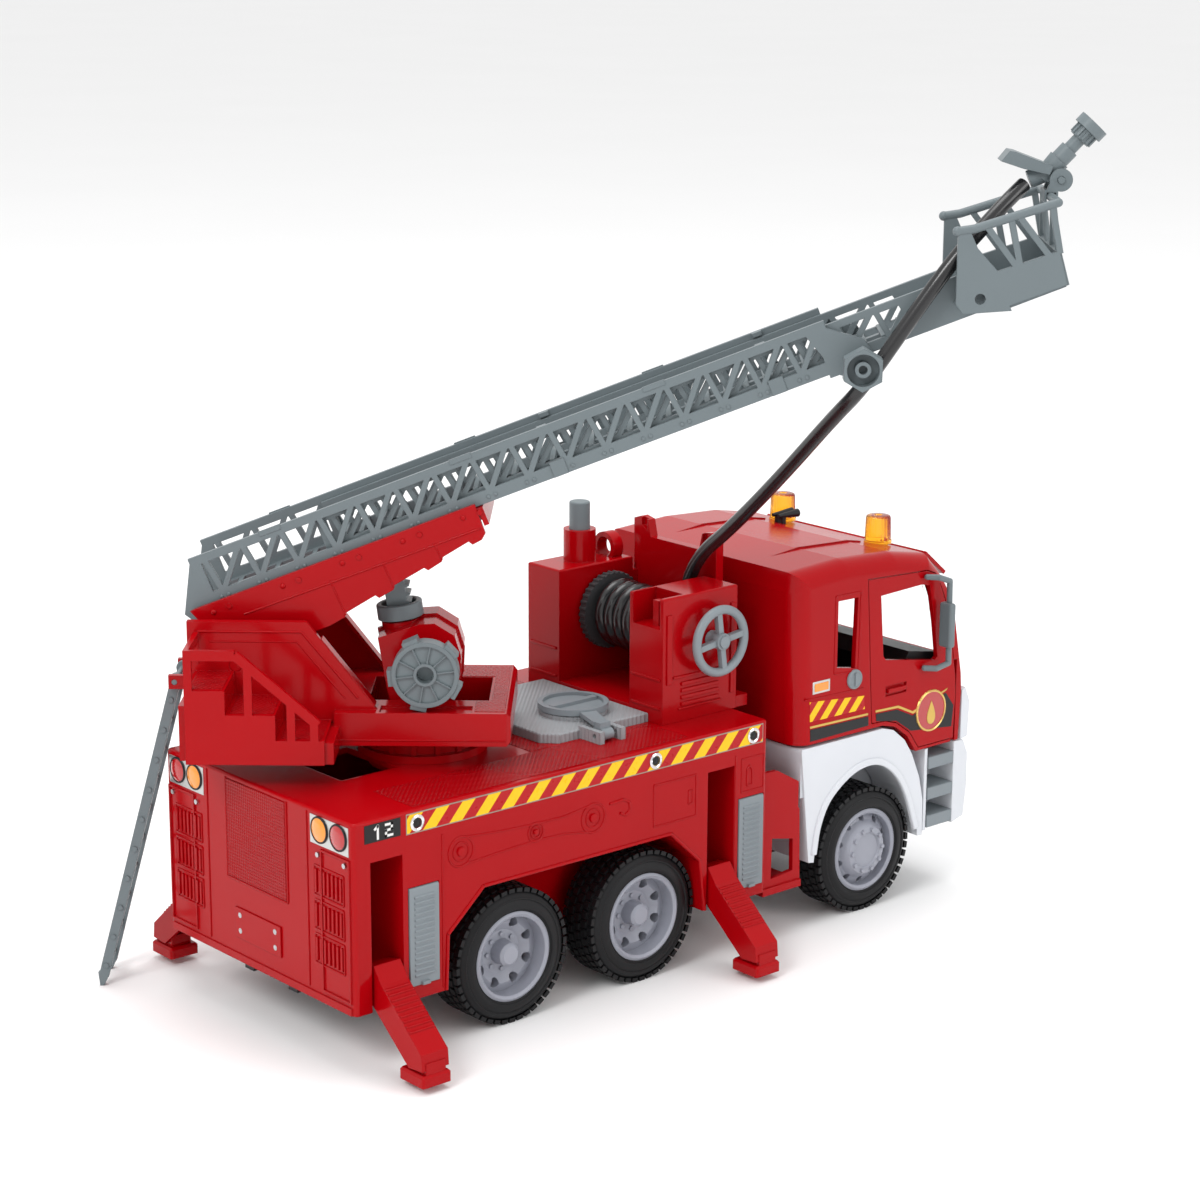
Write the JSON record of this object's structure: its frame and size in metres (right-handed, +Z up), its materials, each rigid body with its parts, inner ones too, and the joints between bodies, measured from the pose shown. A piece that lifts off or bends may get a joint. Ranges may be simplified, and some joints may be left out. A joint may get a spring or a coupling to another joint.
{
  "type": "toy fire engine",
  "caption": "Toy turntable-ladder fire engine: three-axle truck with slewing, lifting and extending ladder, basket with water monitor, hose reel, pump and fold-out legs",
  "frame": {"origin": "middle of the whole outline in plan, on the ground under the tyres", "axes": "+X towards the cab, +Y to the truck's left, +Z up; the turntable rests swung 41.5 degrees to the right"},
  "size_m": [0.3664, 0.2856, 0.3543],
  "materials": {
    "red_plastic": "gloss moulded",
    "black_plastic": "satin moulded",
    "ladder_grey_plastic": "satin moulded",
    "light_grey_plastic": "satin moulded",
    "silver_grey_plastic": "satin moulded",
    "reel_grey_plastic": "satin moulded",
    "white_plastic": "gloss moulded",
    "tyre": "soft moulded",
    "hose_vinyl": "smooth tube",
    "clear": "clear moulded",
    "amber_lens": "tinted moulded",
    "steel": "bright"
  },
  "bodies": {
    "truck": {"chassis_frame": "black_plastic", "rear_body_shell": "red_plastic", "turntable_ring": "red_plastic", "tank_cover_plate": "light_grey_plastic", "water_tank": "black_plastic", "hose_bay_housing": "red_plastic", "pump_barrel": "black_plastic", "pump_spring": "steel", "hose": "hose_vinyl", "outrigger_pins": "red_plastic", "cab_shell": "red_plastic", "cab_lower": "white_plastic", "cab_steps": "light_grey_plastic", "windscreen": "clear", "cab_interior": "black_plastic", "steering_wheel": "black_plastic", "sun_visor": "red_plastic", "beacons": "amber_lens", "air_horns": "light_grey_plastic", "headlamps": "clear", "front_grille": "black_plastic", "step_brackets": "red_plastic", "body_screws": "steel"},
    "filler_lid": {"filler_lid": "light_grey_plastic"},
    "door_right": {"door_right": "red_plastic"},
    "door_left": {"door_left": "red_plastic"},
    "mirror_right": {"mirror_right": "ladder_grey_plastic"},
    "mirror_left": {"mirror_left": "ladder_grey_plastic"},
    "pump_plunger": {"pump_plunger": "ladder_grey_plastic"},
    "reel": {"reel_spool": "reel_grey_plastic", "handwheel": "light_grey_plastic", "hose_coil": "hose_vinyl"},
    "axle_rear": {"tyres_rear": "tyre", "rims_rear": "silver_grey_plastic"},
    "axle_middle": {"tyres_middle": "tyre", "rims_middle": "silver_grey_plastic"},
    "axle_front": {"tyres_front": "tyre", "rims_front": "silver_grey_plastic"},
    "turntable": {"turntable_base": "red_plastic", "swivel_hub": "red_plastic"},
    "rear_ladder": {"rear_ladder": "ladder_grey_plastic"},
    "boom": {"boom_cradle": "red_plastic", "outer_ladder": "ladder_grey_plastic"},
    "extension": {"inner_ladder": "ladder_grey_plastic"},
    "extension_knob": {"extension_knob": "ladder_grey_plastic"},
    "basket": {"basket": "ladder_grey_plastic", "monitor_bracket": "ladder_grey_plastic"},
    "monitor": {"monitor_body": "ladder_grey_plastic"},
    "lift_housing": {"lift_housing": "red_plastic", "lift_collar": "ladder_grey_plastic"},
    "lift_rod": {"lift_rod": "ladder_grey_plastic"},
    "lift_knob": {"lift_knob": "ladder_grey_plastic"},
    "outrigger_rear_right": {"outrigger_rear_right": "red_plastic"},
    "outrigger_front_right": {"outrigger_front_right": "red_plastic"},
    "shutter_rear_right": {"shutter_rear_right": "light_grey_plastic"},
    "shutter_front_right": {"shutter_front_right": "light_grey_plastic"},
    "outrigger_rear_left": {"outrigger_rear_left": "red_plastic"},
    "outrigger_front_left": {"outrigger_front_left": "red_plastic"},
    "shutter_rear_left": {"shutter_rear_left": "light_grey_plastic"},
    "shutter_front_left": {"shutter_front_left": "light_grey_plastic"}
  },
  "joints": [
    {"name": "outrigger_rear_right_fold", "type": "hinge", "parent": "truck", "child": "outrigger_rear_right", "pos_m": [-0.1425, -0.0166, 0.034], "axis": [-1, 0, 0], "range_deg": [0, 126]},
    {"name": "outrigger_front_right_fold", "type": "hinge", "parent": "truck", "child": "outrigger_front_right", "pos_m": [0.0291, -0.0166, 0.034], "axis": [-1, 0, 0], "range_deg": [0, 126]},
    {"name": "shutter_rear_right_lift", "type": "hinge", "parent": "truck", "child": "shutter_rear_right", "pos_m": [-0.1253, -0.0221, 0.0686], "axis": [-1, 0, 0], "range_deg": [0, 95]},
    {"name": "shutter_front_right_lift", "type": "hinge", "parent": "truck", "child": "shutter_front_right", "pos_m": [0.0462, -0.0221, 0.0677], "axis": [-1, 0, 0], "range_deg": [0, 95]},
    {"name": "door_right_swing", "type": "hinge", "parent": "truck", "child": "door_right", "pos_m": [0.1726, -0.0195, 0.11], "axis": [0, 0, 1], "range_deg": [0, 60]},
    {"name": "mirror_right_fold", "type": "hinge", "parent": "door_right", "child": "mirror_right", "pos_m": [0.1512, -0.0217, 0.126], "axis": [0, 0, -1], "range_deg": [0, 50]},
    {"name": "outrigger_rear_left_fold", "type": "hinge", "parent": "truck", "child": "outrigger_rear_left", "pos_m": [-0.1425, 0.0984, 0.034], "axis": [1, 0, 0], "range_deg": [0, 126]},
    {"name": "outrigger_front_left_fold", "type": "hinge", "parent": "truck", "child": "outrigger_front_left", "pos_m": [0.0291, 0.0984, 0.034], "axis": [1, 0, 0], "range_deg": [0, 126]},
    {"name": "shutter_rear_left_lift", "type": "hinge", "parent": "truck", "child": "shutter_rear_left", "pos_m": [-0.1253, 0.1039, 0.0686], "axis": [1, 0, 0], "range_deg": [0, 95]},
    {"name": "shutter_front_left_lift", "type": "hinge", "parent": "truck", "child": "shutter_front_left", "pos_m": [0.0462, 0.1039, 0.0677], "axis": [1, 0, 0], "range_deg": [0, 95]},
    {"name": "door_left_swing", "type": "hinge", "parent": "truck", "child": "door_left", "pos_m": [0.1726, 0.1013, 0.11], "axis": [0, 0, -1], "range_deg": [0, 60]},
    {"name": "mirror_left_fold", "type": "hinge", "parent": "door_left", "child": "mirror_left", "pos_m": [0.1512, 0.1035, 0.126], "axis": [0, 0, 1], "range_deg": [0, 50]},
    {"name": "axle_rear_spin", "type": "hinge", "parent": "truck", "child": "axle_rear", "pos_m": [-0.0787, 0.0409, 0.028], "axis": [0, 1, 0], "continuous": true},
    {"name": "axle_middle_spin", "type": "hinge", "parent": "truck", "child": "axle_middle", "pos_m": [-0.01, 0.0409, 0.028], "axis": [0, 1, 0], "continuous": true},
    {"name": "axle_front_spin", "type": "hinge", "parent": "truck", "child": "axle_front", "pos_m": [0.1194, 0.0409, 0.028], "axis": [0, 1, 0], "continuous": true},
    {"name": "reel_spin", "type": "hinge", "parent": "truck", "child": "reel", "pos_m": [0.0417, 0.0409, 0.1335], "axis": [0, 1, 0], "continuous": true, "deforming": ["hose"]},
    {"name": "pump_press", "type": "slide", "parent": "truck", "child": "pump_plunger", "axis": [0, 0, -1], "range_m": [0, 0.012], "stiffness_N_per_m": 120, "springref_m": -0.004, "deforming": ["pump_spring"]},
    {"name": "filler_lid_open", "type": "hinge", "parent": "truck", "child": "filler_lid", "pos_m": [-0.0168, -0.0021, 0.1035], "axis": [1, 0, 0], "range_deg": [0, 110]},
    {"name": "turntable_swivel", "type": "hinge", "parent": "truck", "child": "turntable", "pos_m": [-0.077, 0.0409, 0.1111], "axis": [0, 0, 1], "range_deg": [-72, 115], "deforming": ["hose"]},
    {"name": "rear_ladder_fold", "type": "hinge", "parent": "turntable", "child": "rear_ladder", "pos_m": [-0.14965, 0.10517, 0.13], "axis": [0.6626, 0.749, 0], "range_deg": [0, 95]},
    {"name": "boom_lift", "type": "hinge", "parent": "turntable", "child": "boom", "pos_m": [-0.12943, 0.08728, 0.142], "axis": [-0.6626, -0.749, 0], "range_deg": [-14, 22], "deforming": ["hose"]},
    {"name": "lift_housing_tilt", "type": "hinge", "parent": "turntable", "child": "lift_housing", "pos_m": [-0.07408, 0.03832, 0.139], "axis": [-0.6626, -0.749, 0], "range_deg": [-10, 15]},
    {"name": "lift_rod_slide", "type": "slide", "parent": "lift_housing", "child": "lift_rod", "axis": [-0.0978, 0.0865, 0.9914], "range_m": [-0.018, 0.028]},
    {"name": "lift_knob_turn", "type": "hinge", "parent": "lift_housing", "child": "lift_knob", "pos_m": [-0.07408, 0.03832, 0.139], "axis": [0.6626, 0.749, 0], "range_deg": [-210, 320]},
    {"name": "ladder_extend", "type": "slide", "parent": "boom", "child": "extension", "axis": [0.6983, -0.6178, 0.3616], "range_m": [-0.024, 0.1], "deforming": ["hose"]},
    {"name": "extension_knob_turn", "type": "hinge", "parent": "boom", "child": "extension_knob", "pos_m": [0.03255, -0.09341, 0.25969], "axis": [0.6626, 0.749, 0], "range_deg": [-450, 1860]},
    {"name": "basket_tilt", "type": "hinge", "parent": "extension", "child": "basket", "pos_m": [0.08399, -0.10153, 0.28615], "axis": [-0.6626, -0.749, 0], "range_deg": [-25, 20], "deforming": ["hose"]},
    {"name": "monitor_tilt", "type": "hinge", "parent": "basket", "child": "monitor", "pos_m": [0.10769, -0.1225, 0.329], "axis": [-0.6626, -0.749, 0], "range_deg": [-35, 5], "deforming": ["hose"]}
  ],
  "couplings": [
    {"joint": "lift_housing_tilt", "follows": "boom_lift", "ratio": 0.64},
    {"joint": "lift_rod_slide", "follows": "boom_lift", "m_per_rad": 0.068755},
    {"joint": "lift_knob_turn", "follows": "boom_lift", "ratio": 13.751},
    {"joint": "extension_knob_turn", "follows": "ladder_extend", "rad_per_m": 322.58}
  ]
}
